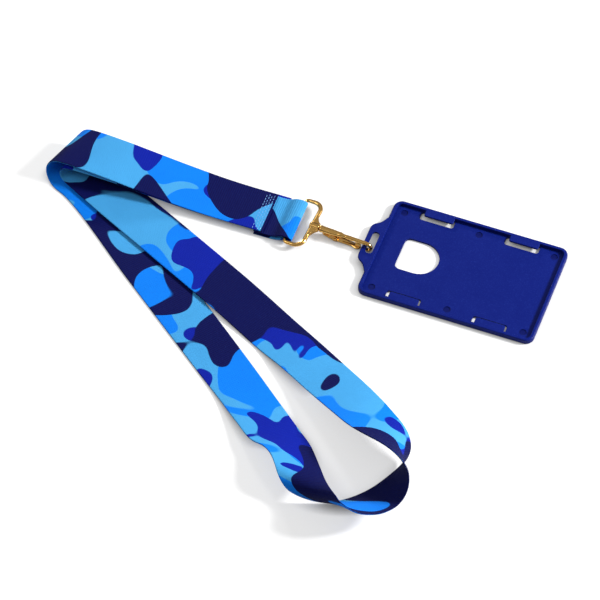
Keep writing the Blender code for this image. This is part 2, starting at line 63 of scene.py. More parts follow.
# Webbing
STRAP_W, STRAP_T, TAB_T = 25.0, 0.8, 0.75
RIB_PITCH, RIB_HEIGHT = 1.1, 0.035
RIB_STEPS = 4  # mesh rows to a rib
THREAD_PITCH = 0.62  # across the cloth
EDGE_ROUND = 0.45
TAB_Y = 0.5
TAB_START = 985.0  # where the tab was cut from the roll of webbing
UNDERSIDE = 62.0  # the underside shows the print this far across from the top's
A_END_X, C_END_X, SEWN_X = -103.0, -96.6, -107.6
FLOOR_Z = 0.4  # of the cloth's middle, where it lies on the floor
ARM_Z = 1.7  # of the right arm's middle, where it crosses over the left one
OUTER_ROLL_R, INNER_ROLL_R = 6.2, 4.0
LEFT_ARM = -37.7  # heading in degrees
SAMPLE, BLUR = 0.25, 12  # spacing of an edge curve's samples, and how many on each side smooth one

# Stitching
STITCH_ROWS = (-108.3, -107.0, -105.7, -104.4)
STITCH_PITCH, STITCH_LENGTH, STITCH_R = 1.9, 1.35, 0.17
STITCH_MARGIN, STITCH_PROUD, STITCH_SCATTER = 1.4, 0.07, 0.08

# Print: linear colours, and the share of dark patches along the cloth from the top ply's end
LIGHT_BLUE = (0.055, 0.33, 0.68)
MID_BLUE = (0.002, 0.19, 0.80)
ROYAL = (0.002, 0.010, 0.30)
NAVY = (0.0012, 0.0012, 0.060)
END_SHADOW_LENGTH = 0.9  # length of the painted shadow: the cloth is turned navy this far from the top ply's end
TONE_LENGTH = 1000.0
TONES = [(0.0, 0.5), (0.03, 0.85), (0.065, 0.5), (0.10, 0.1), (0.15, 0.6), (0.20, 0.45), (0.24, 0.1)]
TONES += [(0.28, 0.85), (0.32, 0.2), (0.37, 0.7), (0.41, 1.0), (0.45, 0.6), (0.49, 0.15), (0.53, 0.65)]
TONES += [(0.58, 0.95), (0.62, 0.3), (0.66, 0.6), (0.71, 0.2), (0.80, 0.4), (1.0, 0.5)]

# Snap hook
HOOK_AT, HOOK_TURN = (-79.3, -0.05), -4.0
RISE, EYE_Z = 0.05, 4.25  # the swivel axis climbs RISE per millimetre from EYE_Z
EYE_HALF, EYE_DEPTH, EYE_FRONT = 14.4, 10.5, 0.9
EYE_WIRE, EYE_BAR, EYE_BAR_T = 0.9, 1.2, 1.0
BOSS_R, BOSS_S0, BOSS_S1 = 1.95, -2.1, 3.1
SHANK_R, SHANK_HOLE_R = 0.8, 1.1
HEAD_R, HEAD_S, HEAD_POCKET_R, HEAD_POCKET_S = 1.2, -1.65, 1.5, -1.35
BEND_S, BEND_Z, BEND_INNER = 29.2, 2.7, 1.45
BAR_HALF, TIP_HALF = 1.0, 0.6  # half depths of the top bar and of the tip
PIN_S, PIN_Z, PIN_HOLE_R = 12.2, 2.2, 0.8
LUG_HALF, LUG_R = 0.75, 1.25
EAR_IN, EAR_OUT, EAR_R = 1.05, 1.7, 1.2
DRILL = 6.0  # half length of a cutter that goes right through
VOXEL = 0.11  # of the castings' remesh

# Holder
CARD_AT, CARD_TURN = (0.1, 0.4), -0.7  # its centre, and its heading in degrees
MARK_X, MARK_Y, MARK_D = 39.9, 24.8, 3.7  # ejector marks, which the holder's material darkens with painted shade
MARK_Z = 0.7  # below their floor and above the back face
HOLDER_BEVEL = 0.25
SHARP, CAST_SHARP, CLOTH_SHARP = 35, 50, 60  # degrees between faces from which an edge stays sharp

# Camera and lights: name, place, disc size in metres, watts
AIM = (-71.3, -42.8, 0.0)
AZIMUTH, ELEVATION, DISTANCE = 19.8, 53.95, 1.85
LENS, SENSOR = 222.3, 36
LIGHTS = [("key", (850, 330, 620), 0.22, 23.0), ("fill", (-750, -350, 800), 0.6, 2.5)]
LIGHTS.append(("glint", (-550, 650, 330), 0.12, 3.0))
LIGHT_AIM = (-70, -40, 0)
FLOOR_HALF = 4  # metres
LAMP_GLOW, SEEN_GLOW = 0.12, 0.44  # the floor's own light, and what the camera sees on top of it
SHADE_REACH = 6.0  # how far the floor's painted contact shade reaches


# ---------------------------------------------------------------- helpers
def place(p):
    """A point of the holder's frame, in millimetres, as metres in the model's frame."""
    return HOME + Vector(p) * MM


def new_object(name, mesh, *materials):
    obj = bpy.data.objects.new(name, mesh)
    bpy.context.scene.collection.objects.link(obj)
    for mat in materials:
        mesh.materials.append(mat)
    return obj


def finish_bmesh(name, bm, *materials):
    bmesh.ops.recalc_face_normals(bm, faces=bm.faces)
    mesh = bpy.data.meshes.new(name)
    bm.to_mesh(mesh)
    bm.free()
    mesh.shade_smooth()
    return new_object(name, mesh, *materials)


def apply_modifiers(obj):
    graph = bpy.context.evaluated_depsgraph_get()
    mesh = bpy.data.meshes.new_from_object(obj.evaluated_get(graph))
    mats = list(obj.data.materials)
    obj.modifiers.clear()
    obj.data = mesh
    mesh.materials.clear()
    for mat in mats:
        mesh.materials.append(mat)
    mesh.shade_smooth()


def cut(obj, tool):
    mod = obj.modifiers.new("cut", "BOOLEAN")
    mod.operation = "DIFFERENCE"
    mod.solver = "EXACT"
    mod.object = tool
    apply_modifiers(obj)
    bpy.data.objects.remove(tool)


def hermite(u, length, p0, p1, slope0, slope1):
    """The point at share u of a cubic from p0 to p1 with the given slopes per unit of length."""
    start = (2 * u**3 - 3 * u**2 + 1) * p0 + (u**3 - 2 * u**2 + u) * length * slope0
    end = (3 * u**2 - 2 * u**3) * p1 + (u**3 - u**2) * length * slope1
    return start + end


def circle(radius, count):
    """Pairs of (across, up) round a circle."""
    angles = [2 * math.pi * k / count for k in range(count)]
    return [(radius * math.cos(t), radius * math.sin(t)) for t in angles]


def rounded(points, radii, steps=6):
    """A closed outline with each corner rounded to its radius."""
    out = []
    for i, point in enumerate(points):
        p = np.array(point, float)
        a = np.array(points[i - 1], float) - p
        b = np.array(points[(i + 1) % len(points)], float) - p
        a /= np.linalg.norm(a)
        b /= np.linalg.norm(b)
        half = math.acos(np.clip(a @ b, -1, 1)) / 2
        tangent = radii[i] / math.tan(half)
        centre = p + (a + b) / np.linalg.norm(a + b) * radii[i] / math.sin(half)
        start, end = p + a * tangent - centre, p + b * tangent - centre
        a0 = math.atan2(start[1], start[0])
        sweep = (math.atan2(end[1], end[0]) - a0 + math.pi) % (2 * math.pi) - math.pi
        for k in range(steps + 1):
            t = a0 + sweep * k / steps
            out.append((centre[0] + radii[i] * math.cos(t), centre[1] + radii[i] * math.sin(t)))
    return out


def loft(bm, rings, closed=False):
    """Adds closed rings of equal count, in order, capped at both ends or joined round."""
    rows = [[bm.verts.new(place(p)) for p in ring] for ring in rings]
    n = len(rows[0])
    for a, b in zip(rows, rows[1:] + (rows[:1] if closed else [])):
        for i in range(n):
            bm.faces.new((a[i], a[(i + 1) % n], b[(i + 1) % n], b[i]))
    if not closed:
        bm.faces.new(list(reversed(rows[0])))
        bm.faces.new(rows[-1])
    return bm


# ---------------------------------------------------------------- materials
class Nodes:
    """Short names for building one node tree."""

    def __init__(self, name):
        self.material = bpy.data.materials.new(name)
        self.material.use_nodes = True
        self.tree = self.material.node_tree
        self.shader = self.tree.nodes["Principled BSDF"]

    def plug(self, socket, value):
        """Puts a number, a colour or another node's output into a socket."""
        if hasattr(value, "is_output"):
            self.tree.links.new(value, socket)
        else:
            socket.default_value = (*value, 1) if isinstance(value, tuple) else value

    def add(self, kind, inputs=None, **settings):
        node = self.tree.nodes.new(kind)
        for key, value in settings.items():
            setattr(node, key, value)
        for key, value in (inputs or {}).items():
            self.plug(node.inputs[key], value)
        return node

    def surface_point(self):
        return self.add("ShaderNodeTexCoord").outputs["Object"]

    def split(self, vector):
        return self.add("ShaderNodeSeparateXYZ", {0: vector}).outputs

    def math(self, operation, a, b=None):
        inputs = {0: a} if b is None else {0: a, 1: b}
        return self.add("ShaderNodeMath", inputs, operation=operation).outputs[0]

    def noise(self, vector, scale, detail=0.0, roughness=0.5, distortion=0.0, shift=0.0):
        inputs = {"Vector": vector, "W": shift, "Scale": scale}
        inputs |= {"Detail": detail, "Roughness": roughness, "Distortion": distortion}
        return self.add("ShaderNodeTexNoise", inputs, noise_dimensions="4D").outputs["Fac"]

    def mix(self, factor, a, b, blend="MIX"):
        """A colour mix: the node's inputs 0, 6 and 7 are its factor and its two colours."""
        inputs = {0: factor, 6: a, 7: b}
        return self.add("ShaderNodeMix", inputs, data_type="RGBA", blend_type=blend).outputs[2]

    def ramp(self, value, stops):
        """A grey curve through (position, value) stops."""
        node = self.add("ShaderNodeValToRGB", {0: value})
        node.color_ramp.interpolation = "EASE"
        elements = node.color_ramp.elements
        while len(elements) < len(stops):
            elements.new(0.5)
        for element, (position, grey) in zip(elements, stops):
            element.position = position
            element.color = (grey, grey, grey, 1)
        return node.outputs[0]

    def above(self, value, threshold, soft=0.01):
        """1 where the value is over the threshold, with a narrow soft border."""
        inputs = {"Value": value, "From Min": threshold - soft, "From Max": threshold + soft}
        return self.add("ShaderNodeMapRange", inputs, interpolation_type="SMOOTHSTEP").outputs["Result"]

    def bump(self, height, distance, strength=1.0, normal=None):
        inputs = {"Strength": strength, "Distance": distance, "Height": height}
        if normal is not None:
            inputs["Normal"] = normal
        return self.add("ShaderNodeBump", inputs).outputs["Normal"]

    def finish(self, **values):
        """Sets the shader's own sockets, such as Base_Color."""
        for key, value in values.items():
            self.plug(self.shader.inputs[key.replace("_", " ")], value)


def webbing_material():
    """Ribbed polyester with a generic camouflage print in four blues.

    The UV map holds metres along and across the cloth.
    """
    n = Nodes("printed_webbing")
    uv = n.add("ShaderNodeUVMap", uv_map="cloth").outputs["UV"]
    along, across = n.split(uv)[:2]

    tone = n.ramp(n.math("DIVIDE", along, TONE_LENGTH * MM), TONES)
    shade = n.math("MULTIPLY", n.math("SUBTRACT", tone, 0.46), 0.22)

    def patches(scale, distortion, shift, threshold):
        """1 in the patches of one ink, larger where the cloth's tone is dark."""
        cloud = n.noise(uv, scale, detail=0.4, roughness=0.3, distortion=distortion, shift=shift)
        return n.above(n.math("ADD", cloud, shade), threshold, 0.004)

    print_colour = n.mix(patches(32, 0.9, 3.1, 0.50), LIGHT_BLUE, MID_BLUE)
    print_colour = n.mix(patches(36, 1.0, 8.4, 0.62), print_colour, ROYAL)
    print_colour = n.mix(patches(25, 1.0, 5.2, 0.52), print_colour, NAVY)

    rib = n.math("COSINE", n.math("MULTIPLY", along, 2 * math.pi / (RIB_PITCH * MM)))
    ends = n.math("MULTIPLY", across, 2 * math.pi / (THREAD_PITCH * MM))
    stagger = n.math("MULTIPLY", along, math.pi / (RIB_PITCH * MM))
    thread = n.math("COSINE", n.math("ADD", ends, stagger))
    weave_height = n.math("ADD", n.math("MULTIPLY", rib, 0.6), n.math("MULTIPLY", thread, 0.4))

    # Painted highlight: the raised crowns of the weave are screened a lighter blue.
    painted_crown_highlight = n.math("MULTIPLY", n.above(weave_height, 0.45, 0.5), 0.07)
    colour = n.mix(painted_crown_highlight, print_colour, (0.0, 0.12, 0.60), "SCREEN")
    fleck = n.above(n.noise(uv, 1500, detail=2.0, roughness=0.6, shift=1.7), 0.66, 0.03)
    fleck = n.math("MULTIPLY", fleck, 0.06)
    colour = n.mix(fleck, colour, (0.05, 0.20, 0.75))
    fade = n.noise(uv, 55, detail=2.0, shift=2.2)
    colour = n.mix(n.math("MULTIPLY", fade, 0.16), colour, (0.0, 0.02, 0.10), "MULTIPLY")
    # Painted shadow: the cloth is turned navy for a short length from the top ply's end.
    painted_end_shadow = n.math("SUBTRACT", 1.0, n.above(along, END_SHADOW_LENGTH * MM, 0.0002))
    colour = n.mix(painted_end_shadow, colour, NAVY)
    yarn = n.noise(uv, 2600, detail=1.0, shift=4.4)
    height = n.math("ADD", weave_height, n.math("MULTIPLY", yarn, 0.5))
    n.finish(
        Base_Color=colour,
        Roughness=0.7,
        Specular_IOR_Level=0.08,
        Sheen_Weight=0.015,
        Sheen_Roughness=0.4,
        Normal=n.bump(height, 0.00007, 0.9),
    )
    return n.material


def thread_material():
    n = Nodes("thread")
    where = n.surface_point()
    inputs = {"Vector": where, "Scale": 900}
    twist = n.add("ShaderNodeTexWave", inputs, wave_type="BANDS", bands_direction="DIAGONAL").outputs["Fac"]
    tone = n.noise(where, 900, detail=2.0)
    colour = n.mix(tone, (0.06, 0.20, 0.50), (0.16, 0.36, 0.70))
    n.finish(Base_Color=colour, Roughness=0.55, Sheen_Weight=0.2, Normal=n.bump(twist, 0.00005, 0.7))
    return n.material


def ejector_mark_shade(n, where):
    """1 on the six round marks in the tray's floor: two rows of three. The holder's material darkens them
    with painted shade.
    """
    mapping = n.add("ShaderNodeMapping", {"Vector": where}, vector_type="TEXTURE")
    mapping.inputs["Location"].default_value = place((*CARD_AT, 0))
    mapping.inputs["Rotation"].default_value = (0, 0, math.radians(CARD_TURN))
    x, y, z = n.split(mapping.outputs[0])
    from_middle = n.math("ABSOLUTE", x)
    from_end = n.math("ABSOLUTE", n.math("SUBTRACT", from_middle, MARK_X * MM))
    x = n.math("MINIMUM", from_middle, from_end)
    y = n.math("SUBTRACT", n.math("ABSOLUTE", y), MARK_Y * MM)
    squares = n.math("ADD", n.math("MULTIPLY", x, x), n.math("MULTIPLY", y, y))
    inside = n.math("LESS_THAN", squares, (MARK_D / 2 * MM) ** 2)
    return n.math("MULTIPLY", inside, n.math("GREATER_THAN", z, MARK_Z * MM))


def plastic_material():
    """Dark blue moulded plastic: semi-gloss, with a fine spark-eroded grain and faint handling scuffs."""
    n = Nodes("holder_plastic")
    where = n.surface_point()
    grain = n.noise(where, 2200, detail=2.0, roughness=0.6)
    cloud = n.noise(where, 60, detail=3.0, roughness=0.6, distortion=0.3, shift=1.3)
    scuff = n.above(n.noise(where, 420, detail=4.0, roughness=0.7, distortion=0.6, shift=6.1), 0.63, 0.05)
    colour = n.mix(cloud, (0.0012, 0.0060, 0.115), (0.0025, 0.0100, 0.150))
    colour = n.mix(n.math("MULTIPLY", scuff, 0.06), colour, (0.03, 0.06, 0.35))
    speck = n.above(n.noise(where, 1700, detail=2.0, roughness=0.7, shift=3.3), 0.58, 0.06)
    colour = n.mix(n.math("MULTIPLY", speck, 0.16), colour, (0.02, 0.05, 0.32))
    # Painted shade: the hollows of the ejector marks are darkened to a deep blue.
    colour = n.mix(n.math("MULTIPLY", ejector_mark_shade(n, where), 0.55), colour, (0.0005, 0.0010, 0.035))
    shine = n.math("ADD", n.math("MULTIPLY", cloud, 0.14), n.math("MULTIPLY", grain, 0.16))
    n.finish(
        Base_Color=colour,
        Roughness=n.math("ADD", shine, 0.24),
        Specular_IOR_Level=0.12,
        Normal=n.bump(grain, 0.00006, 0.8),
    )
    return n.material


def gold_material():
    """Bright gold-coloured plating over a polished zinc casting, with soft ripples and fine scratches."""
    n = Nodes("gold_plate")
    where = n.surface_point()
    ripple = n.noise(where, 240, detail=2.0, distortion=0.2, shift=2.6)
    stretch = n.add("ShaderNodeMapping", {"Vector": where})
    stretch.inputs["Scale"].default_value = (0.25, 1.6, 1.6)
    scratch = n.noise(stretch.outputs[0], 2400, detail=3.0, roughness=0.6, shift=7.7)
    tone = n.noise(where, 170, detail=2.0, shift=9.3)
    colour = n.mix(tone, (0.78, 0.42, 0.10), (0.86, 0.54, 0.18))
    normal = n.bump(ripple, 0.00012, 0.35)
    n.finish(
        Base_Color=colour,
        Metallic=1.0,
        Roughness=n.math("ADD", n.math("MULTIPLY", scratch, 0.14), 0.13),
        Normal=n.bump(scratch, 0.00001, 0.4, normal),
    )
    return n.material


def steel_material():
    """Straw-brown tempered strip."""
    n = Nodes("spring_steel")
    where = n.surface_point()
    brushed = n.noise(where, 1800, detail=3.0, roughness=0.6)
    colour = n.mix(brushed, (0.16, 0.10, 0.05), (0.26, 0.17, 0.09))
    rough = n.math("ADD", n.math("MULTIPLY", brushed, 0.15), 0.22)
    n.finish(Base_Color=colour, Metallic=1.0, Roughness=rough)
    return n.material


def floor_material():
    """White card: bright to the camera, a weak lamp for the object, and darker close to what lies on it,
    where its glow is dimmed with painted contact shade.
    """
    n = Nodes("floor")
    seen = n.add("ShaderNodeLightPath").outputs["Is Camera Ray"]
    glow = n.math("ADD", n.math("MULTIPLY", seen, SEEN_GLOW), LAMP_GLOW)
    # Painted contact shade: ambient occlusion dims the floor's glow near the object.
    painted_contact_shade = n.add("ShaderNodeAmbientOcclusion", {"Distance": SHADE_REACH * MM}, samples=8).outputs["AO"]
    glow = n.math("MULTIPLY", glow, n.math("POWER", painted_contact_shade, 1.4))
    n.finish(Base_Color=(0.5, 0.5, 0.5), Roughness=0.9, Specular_IOR_Level=0.1)
    n.finish(Emission_Color=(1.0, 1.0, 1.0), Emission_Strength=glow)
    return n.material


# ---------------------------------------------------------------- webbing
def run(x, y, north_z, south_z):
    """A station of the sewn run, square to X, with its centre at y."""
    return (x, y + STRAP_W / 2, north_z), (x, y - STRAP_W / 2, south_z)


def arm(x, y, heading_deg, z):
    """A station of a straight arm lying flat: left edge, right edge."""
    t = math.radians(heading_deg)
    left = np.array([-math.sin(t), math.cos(t), 0]) * STRAP_W / 2
    centre = np.array([x, y, z])
    return tuple(centre + left), tuple(centre - left)


def roll(centre, radius, low_z, line_deg, degs):
    """Stations round a folded turn: a half cylinder about an axis whose plan point is centre.

    Its rulings run along the fold line, which also crosses the strap at line_deg.
    """
    t = math.radians(line_deg)
    line = np.array([math.cos(t), math.sin(t), 0])
    out = np.array([-math.sin(t), math.cos(t), 0])
    stations = []
    for deg in degs:
        a = math.radians(deg)
        p = np.array([centre[0], centre[1], low_z + radius]) + line * radius * a / math.tan(t)
        p = p + out * radius * math.cos(a) + np.array([0, 0, radius * math.sin(a)])
        half = line * STRAP_W / 2 / math.sin(t)
        stations.append((tuple(p + half), tuple(p - half)))
    return stations


def strap_stations():
    """The loop's (inner edge, outer edge) at chosen rulings, from the top ply's end to the lower one's."""
    top = [run(A_END_X, 0.9, 3.6, 3.5), run(-115, 0.9, 3.7, 3.5), run(-130, 0.9, 4.4, 3.7)]
    top += [run(-146, 1.0, 6.0, 4.6), run(-166, 1.0, 8.8, 7.3), run(-186, 0.8, 12.0, 10.6)]
    outer = roll((-209.8, -1.9), OUTER_ROLL_R, FLOOR_Z, 71.2, range(90, -91, -15))
    turn = [
        arm(-199.0, -12.0, LEFT_ARM, FLOOR_Z),
        arm(-150.0, -49.8, LEFT_ARM, FLOOR_Z),
        arm(-100.0, -88.4, LEFT_ARM, FLOOR_Z),
        ((-72.5, -94.5, 0.5), (-87.6, -113.8, 1.2)),
        ((-57.5, -107.0, 1.0), (-74.5, -125.0, 3.6)),
        ((-44.5, -118.0, 2.0), (-63.5, -134.0, 6.4)),
        ((-36.5, -125.0, 3.2), (-56.3, -136.8, 9.0)),
        ((-29.5, -134.0, 5.4), (-50.6, -141.8, 11.4)),
        ((-24.5, -141.5, 8.8), (-46.6, -147.2, 12.5)),
        ((-20.0, -148.5, 13.0), (-42.6, -152.4, 11.0)),
        ((-15.5, -154.5, 17.5), (-37.0, -155.5, 7.0)),
        ((-11.5, -159.0, 20.5), (-29.0, -155.0, 3.4)),
        ((-6.5, -162.5, 20.0), (-18.0, -152.0, 0.7)),
        ((-0.5, -162.8, 17.0), (-13.0, -149.0, 0.4)),
        ((5.5, -160.3, 14.5), (-8.5, -145.5, 0.4)),
        ((11.2, -156.3, 12.9), (-4.7, -141.7, 0.4)),
        ((15.8, -151.0, 12.8), (-1.2, -137.4, 0.4)),
        ((18.5, -144.7, 14.7), (1.8, -132.7, 0.4)),
        ((18.5, -139.0, 18.0), (4.6, -127.6, 0.5)),
        ((16.0, -134.0, 21.5), (7.4, -122.3, 1.0)),
        ((11.0, -130.6, 24.0), (10.0, -117.3, 2.8)),
        ((5.0, -127.8, 24.8), (10.7, -112.6, 5.6)),
        ((-1.2, -125.2, 23.8), (8.7, -108.3, 8.3)),
        ((-9.0, -121.8, 21.0), (3.5, -103.0, 10.0)),
        ((-18.5, -117.0, 17.0), (-5.0, -96.8, 10.2)),
        ((-33.5, -107.0, 11.0), (-19.5, -86.5, 8.0)),
        ((-48.5, -97.2, 6.5), (-34.8, -76.5, 4.8)),
        ((-64.5, -87.2, 3.5), (-51.0, -66.3, 2.0)),
        ((-84.5, -76.3, 0.6), (-72.5, -54.4, 0.6)),
        ((-112.0, -62.5, ARM_Z), (-101.0, -40.0, ARM_Z)),
        ((-155.0, -41.5, ARM_Z), (-144.0, -19.0, ARM_Z)),
        ((-190.5, -24.2, ARM_Z), (-179.5, -1.8, ARM_Z)),
    ]
    inner = roll((-206.0, -0.7), INNER_ROLL_R, ARM_Z, 76.8, range(-90, 91, 15))
    back = [run(-186, 1.2, 8.6, 8.4), run(-166, 1.8, 5.4, 5.2), run(-146, 2.3, 2.6, 2.4)]
    back += [run(-130, 2.5, 1.5, 1.5), run(C_END_X, 2.5, 1.425, 1.425)]
    return top + outer + turn + [(b, a) for a, b in inner + back]


def edge_curve(stations, step):
    """Edge points at even steps through the stations, and their distances along the middle.

    Hermite curves, then a light smoothing away from the ends.
    """
    pts = np.array(stations, float).reshape(len(stations), 6)
    mid = (pts[:, :3] + pts[:, 3:]) / 2
    t = np.r_[0, np.cumsum(np.linalg.norm(np.diff(mid, axis=0), axis=1))]
    h = np.diff(t)[:, None]
    d = np.diff(pts, axis=0) / h
    slope = np.zeros_like(pts)
    slope[1:-1] = (d[:-1] * h[1:] + d[1:] * h[:-1]) / (h[:-1] + h[1:])
    slope[0], slope[-1] = d[0], d[-1]
    for c in (2, 5):  # heights never pass beyond their stations
        slope[1:-1, c][d[:-1, c] * d[1:, c] <= 0] = 0
        most = 2.5 * np.minimum(abs(d[:-1, c]), abs(d[1:, c]))
        slope[1:-1, c] = np.clip(slope[1:-1, c], -most, most)
    at = np.linspace(0, t[-1], int(t[-1] / SAMPLE))
    i = np.clip(np.searchsorted(t, at, "right") - 1, 0, len(t) - 2)
    length = (t[i + 1] - t[i])[:, None]
    out = hermite((at - t[i])[:, None] / length, length, pts[i], pts[i + 1], slope[i], slope[i + 1])
    kernel = np.hanning(2 * BLUR + 1)
    kernel /= kernel.sum()
    for _ in range(2):
        padded = np.vstack([2 * out[0] - out[BLUR:0:-1], out, 2 * out[-1] - out[-2 : -BLUR - 2 : -1]])
        out = np.stack([np.convolve(padded[:, c], kernel, "valid") for c in range(6)], 1)
    mid = (out[:, :3] + out[:, 3:]) / 2
    s = np.r_[0, np.cumsum(np.linalg.norm(np.diff(mid, axis=0), axis=1))]
    even = np.linspace(0, s[-1], int(s[-1] / step) + 1)
    out = np.stack([np.interp(even, s, out[:, c]) for c in range(6)], 1)
    return out.reshape(-1, 2, 3), even


def webbing(name, edges, along, thickness, start, mat):
    """A closed ribbed strip about the surface between two edges, cut from the roll at start."""
    near_edge = np.array([0, 0.12, 0.3, 0.6])
    across = np.r_[near_edge, np.linspace(1.2, STRAP_W - 1.2, 12), STRAP_W - near_edge[::-1]]
    share = (across / STRAP_W)[None, :, None]
    grid = edges[:, :1] * (1 - share) + edges[:, 1:] * share
    normal = np.cross(np.gradient(grid, axis=0), np.gradient(grid, axis=1))
    normal /= np.linalg.norm(normal, axis=2)[..., None]
    inside = np.clip(np.minimum(across, STRAP_W - across) / EDGE_ROUND, 0, 1)
    dome = 0.30 + 0.70 * np.sqrt(1 - (1 - inside) ** 2)
    rib = np.cos(2 * math.pi * along / RIB_PITCH)[:, None] * inside[None, :] * RIB_HEIGHT
    half = thickness / 2 - RIB_HEIGHT
    half = (half * dome[None, :] + rib)[..., None]
    upper, lower = grid + normal * half, grid - normal * half
    rows = len(grid)
    section = np.concatenate([upper, lower[:, ::-1]], axis=1)
    count = section.shape[1]
    points = (section.reshape(-1, 3) * MM + np.array(HOME)).astype(np.float64)
    v = np.r_[across, UNDERSIDE + across[::-1]]
    i, j = np.meshgrid(np.arange(rows - 1), np.arange(count), indexing="ij")
    a, b = i * count + j, i * count + (j + 1) % count
    quads = np.stack([a, b, b + count, a + count], 2).reshape(-1, 4)
    caps = [list(range(count)), [(rows - 1) * count + k for k in reversed(range(count))]]
    mesh = bpy.data.meshes.new(name)
    mesh.from_pydata(points.tolist(), [], quads.tolist() + caps)
    uv = mesh.uv_layers.new(name="cloth")
    index = np.empty(len(mesh.loops), np.int32)
    mesh.loops.foreach_get("vertex_index", index)
    coords = np.stack([(start + along[index // count]) * MM, v[index % count] * MM], 1)
    uv.data.foreach_set("uv", coords.astype(np.float32).ravel())
    mesh.shade_smooth()
    mesh.set_sharp_from_angle(angle=math.radians(CLOTH_SHARP))
    mesh.validate()
    return new_object(name, mesh, mat)


def tab_stations():
    """The short loop round the eye's crossbar, both plies lying in the sewn stack."""
    low_z, ring_z, fold_z, fold_r = TAB_T / 2, 2.075, 3.7, 1.625
    line = [(SEWN_X, low_z), (-102.0, low_z), (-97.0, low_z), (-95.6, 0.62), (-94.0, 1.5), (-92.2, ring_z)]
    line.append((-90.0, ring_z))
    for deg in range(-90, 91, 15):
        a = math.radians(deg)
        line.append((-88.3 + fold_r * math.cos(a), fold_z + fold_r * math.sin(a)))
    line += [(-90.0, 5.325), (-92.2, 5.3), (-94.0, 4.5), (-95.6, 3.2), (-97.0, 2.6), (-99.0, 2.475)]
    line.append((SEWN_X, 2.475))
    return [((x, TAB_Y - STRAP_W / 2, z), (x, TAB_Y + STRAP_W / 2, z)) for x, z in line]


def strap_pieces(mat):
    """The neck strap and the loop tab, each a sheet of its own length. Returns the strap."""
    edges, along = edge_curve(strap_stations(), RIB_PITCH / RIB_STEPS)
    strap = webbing("printed_strap", edges, along, STRAP_T, 0, mat)
    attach(strap, "strap")
    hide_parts("neck_strap")
    edges, along = edge_curve(tab_stations(), RIB_PITCH / RIB_STEPS)
    tab = webbing("printed_tab", edges, along, TAB_T, TAB_START, mat)
    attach(tab, "strap")
    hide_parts("loop_tab")
    return strap


def stitch_bead(x, y, z):
    """Rings of one stitch along Y, thickest and highest in its middle."""
    rings = []
    for k in range(7):
        f = k / 6 - 0.5
        r = STITCH_R * math.sqrt(max(0.05, 1 - (1.9 * f) ** 2))
        along, up = y + f * STITCH_LENGTH, z + STITCH_PROUD - 0.5 * f * f
        rings.append([(x + a, along, up + b) for a, b in circle(r, 8)])
    return rings


def stitches(strap, mat):
    """Lock stitches in rows across the sewn stack, each a small bead of thread sunk at both ends."""
    tree = BVHTree.FromObject(strap, bpy.context.evaluated_depsgraph_get())
    chance = random.Random(7)
    bm = bmesh.new()
    half = STRAP_W / 2 - STITCH_MARGIN
    for row, x in enumerate(STITCH_ROWS):
        y = TAB_Y - half + (row % 2) * STITCH_PITCH / 2
        while y < TAB_Y + half:
            at = x + chance.uniform(-STITCH_SCATTER, STITCH_SCATTER)
            hit = tree.ray_cast(place((at, y, 40)), Vector((0, 0, -1)))[0]
            loft(bm, stitch_bead(at, y, (hit.z - HOME.z) / MM))
            y += STITCH_PITCH
    obj = finish_bmesh("lock_stitches", bm, mat)
    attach(obj, "strap")
    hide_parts("box_stitching")


# ---------------------------------------------------------------- snap hook
def hook_point(s, n, z):
    """A point from its distance along the hook, sideways offset and height."""
    t = math.radians(HOOK_TURN)
    along = Vector((math.cos(t), math.sin(t), 0))
    across = Vector((-math.sin(t), math.cos(t), 0))
    return Vector((*HOOK_AT, 0)) + along * s + across * n + Vector((0, 0, z))


def axis_point(s, n, up):
    """As hook_point, but with s and up measured along and square to the rising swivel axis."""
    k = 1 / math.hypot(1, RISE)
    return hook_point((s - up * RISE) * k, n, EYE_Z + (s * RISE + up) * k)


def dense(path, step=0.35):
    """The stations of a bar at close, even steps along a smooth curve."""
    pts = np.array(path, float)
    t = np.r_[0, np.cumsum(np.hypot(*np.diff(pts[:, :2], axis=0).T))]
    slope = np.gradient(pts, t, axis=0)
    out = []
    for i in range(len(t) - 1):
        length = t[i + 1] - t[i]
        count = max(1, round(length / step))
        ends = (pts[i], pts[i + 1], slope[i], slope[i + 1])
        out += [hermite(u, length, *ends) for u in np.arange(count) / count]
    return np.array(out + [pts[-1]])


def bar(bm, path, count=32):
    """A bar with elliptical sections through (s, z, half width, half depth) stations in the hook's plane."""
    path = dense(path)
    along = np.gradient(path[:, :2], axis=0)
    along /= np.linalg.norm(along, axis=1)[:, None]
    rings = []
    for (s, z, hw, hd), (ds, dz) in zip(path, along):
        rings.append([hook_point(s - dz * hd * b, hw * a, z + ds * hd * b) for a, b in circle(1, count)])
    loft(bm, rings)


def turned(bm, profile, count=48):
    """A solid of revolution about the swivel axis from (s, r) points."""
    loft(bm, [[axis_point(s, a, b) for a, b in circle(r, count)] for s, r in profile])


def disc(bm, s, z, n0, n1, r, count=40):
    """A short cylinder across the hook."""
    loft(bm, [[hook_point(s + a, n, z + b) for a, b in circle(r, count)] for n in (n0, n1)])


def plate(bm, outline, n0, n1):
    """A plate across the hook with the given (s, z) outline."""
    loft(bm, [[hook_point(s, n, z) for s, z in outline] for n in (n0, n1)])


def cutter(build, *values):
    """A tool for cut(), made by one of the shape functions above."""
    bm = bmesh.new()
    build(bm, *values)
    return finish_bmesh("cutter", bm)


def fuse(obj, smoothing):
    """Melts overlapping solids into one casting with small fillets where they meet."""
    mod = obj.modifiers.new("melt", "REMESH")
    mod.mode = "VOXEL"
    mod.voxel_size = VOXEL * MM
    soft = obj.modifiers.new("fillets", "SMOOTH")
    soft.factor = 0.5
    soft.iterations = smoothing
    apply_modifiers(obj)


